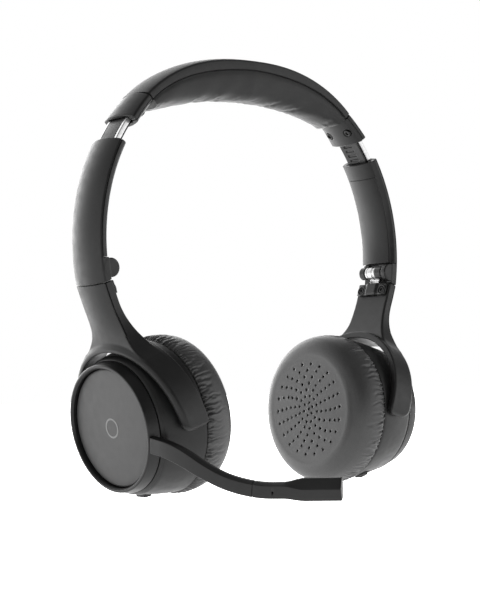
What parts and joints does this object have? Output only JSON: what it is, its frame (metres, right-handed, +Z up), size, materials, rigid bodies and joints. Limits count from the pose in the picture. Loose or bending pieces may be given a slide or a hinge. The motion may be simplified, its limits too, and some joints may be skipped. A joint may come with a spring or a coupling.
{
  "type": "office headset",
  "caption": "Over-the-head office headset: sprung padded headband, folding and sliding arms, tilting on-ear cups and a turning microphone boom.",
  "frame": {"origin": "middle of the head pad's underside at the crown, where a head or a stand carries the headset", "axes": "+X towards the wearer's left ear, -Y forwards (the boom's side), +Z up"},
  "size_m": [0.1796, 0.1371, 0.1939],
  "materials": {
    "shell_plastic": "fine matt moulded grain, satin where light grazes it",
    "dark_plastic": "matt black",
    "leatherette": "soft black leatherette with a fine pebbled grain, stitched",
    "disc_plastic": "mid grey matt disc",
    "steel": "bright turned steel",
    "black_steel": "blackened spring steel with bright sheared edges",
    "circuit_board": "solder resist",
    "battery_wrap": "foil pouch"
  },
  "bodies": {
    "root": {"headband_top_cover": "shell_plastic", "head_pad": "leatherette", "spring_band": "black_steel", "cap_outer_left": "shell_plastic", "cap_inner_left": "dark_plastic", "cap_screw_front_left": "black_steel", "cap_screw_back_left": "black_steel", "slider_rack_left": "dark_plastic", "cap_outer_right": "shell_plastic", "cap_inner_right": "dark_plastic", "cap_screw_front_right": "black_steel", "cap_screw_back_right": "black_steel", "slider_rack_right": "dark_plastic"},
    "arm_left": {"arm_shell_left": "shell_plastic", "arm_inner_cover_left": "dark_plastic", "hinge_bracket_left": "dark_plastic", "hinge_pin_left": "steel"},
    "yoke_left": {"yoke_fork_left": "shell_plastic", "hinge_leaf_left": "steel", "yoke_cover_plate_left": "dark_plastic", "yoke_screw_front_left": "black_steel", "yoke_screw_back_left": "black_steel", "pivot_pin_front_left": "steel", "pivot_pin_back_left": "steel"},
    "cup_left": {"cup_housing_left": "shell_plastic", "speaker_baffle_left": "dark_plastic", "speaker_driver_left": "black_steel", "ear_cushion_left": "leatherette", "disc_cover_left": "disc_plastic", "trim_ring_left": "shell_plastic", "circuit_board": "circuit_board"},
    "arm_right": {"arm_shell_right": "shell_plastic", "arm_inner_cover_right": "dark_plastic", "hinge_bracket_right": "dark_plastic", "hinge_pin_right": "steel"},
    "yoke_right": {"yoke_fork_right": "shell_plastic", "hinge_leaf_right": "steel", "yoke_cover_plate_right": "dark_plastic", "yoke_screw_front_right": "black_steel", "yoke_screw_back_right": "black_steel", "pivot_pin_front_right": "steel", "pivot_pin_back_right": "steel"},
    "cup_right": {"cup_housing_right": "shell_plastic", "speaker_baffle_right": "dark_plastic", "speaker_driver_right": "black_steel", "ear_cushion_right": "leatherette", "disc_cover_right": "disc_plastic", "trim_ring_right": "dark_plastic", "battery": "battery_wrap", "usb_c_port": "steel"},
    "boom": {"boom_ring": "dark_plastic", "boom_arm": "shell_plastic", "mic_housing": "shell_plastic", "mic_capsule": "steel"},
    "volume_rocker": {"volume_rocker": "dark_plastic"},
    "call_button": {"call_button": "dark_plastic"},
    "power_switch": {"power_switch": "dark_plastic"}
  },
  "joints": [
    {"name": "slide_left", "type": "hinge", "parent": "root", "child": "arm_left", "pos_m": [0, 0, -0.0685], "axis": [0, -1, 0], "range_deg": [-7, 13]},
    {"name": "fold_left", "type": "hinge", "parent": "arm_left", "child": "yoke_left", "pos_m": [-0.0814, 0, -0.0787], "axis": [0, 1, 0], "range_deg": [-90, 0]},
    {"name": "tilt_left", "type": "hinge", "parent": "yoke_left", "child": "cup_left", "pos_m": [-0.0629, 0, -0.141], "axis": [0, -1, 0], "range_deg": [-14, 5]},
    {"name": "slide_right", "type": "hinge", "parent": "root", "child": "arm_right", "pos_m": [0, 0, -0.0685], "axis": [0, 1, 0], "range_deg": [-7, 13]},
    {"name": "fold_right", "type": "hinge", "parent": "arm_right", "child": "yoke_right", "pos_m": [0.0814, 0, -0.0787], "axis": [0, 1, 0], "range_deg": [0, 90]},
    {"name": "tilt_right", "type": "hinge", "parent": "yoke_right", "child": "cup_right", "pos_m": [0.0629, 0, -0.141], "axis": [0, 1, 0], "range_deg": [-7, 12]},
    {"name": "boom_turn", "type": "hinge", "parent": "cup_left", "child": "boom", "pos_m": [-0.07651, 0, -0.14572], "axis": [-0.9866, 0, -0.1633], "range_deg": [-190, 40]},
    {"name": "volume_rock", "type": "hinge", "parent": "cup_left", "child": "volume_rocker", "pos_m": [-0.05572, 0.02555, -0.16109], "axis": [-0.9866, 0, -0.1633], "range_deg": [-2.5, 2.5], "stiffness_Nm_per_rad": 0.03},
    {"name": "call_press", "type": "slide", "parent": "cup_left", "child": "call_button", "axis": [-0.1632, -0.0349, 0.986], "range_m": [0, 0.0006], "stiffness_N_per_m": 400},
    {"name": "power_slide", "type": "slide", "parent": "cup_right", "child": "power_switch", "axis": [0.0134, -0.9397, 0.3418], "range_m": [-0.0014, 0.0014]}
  ]
}
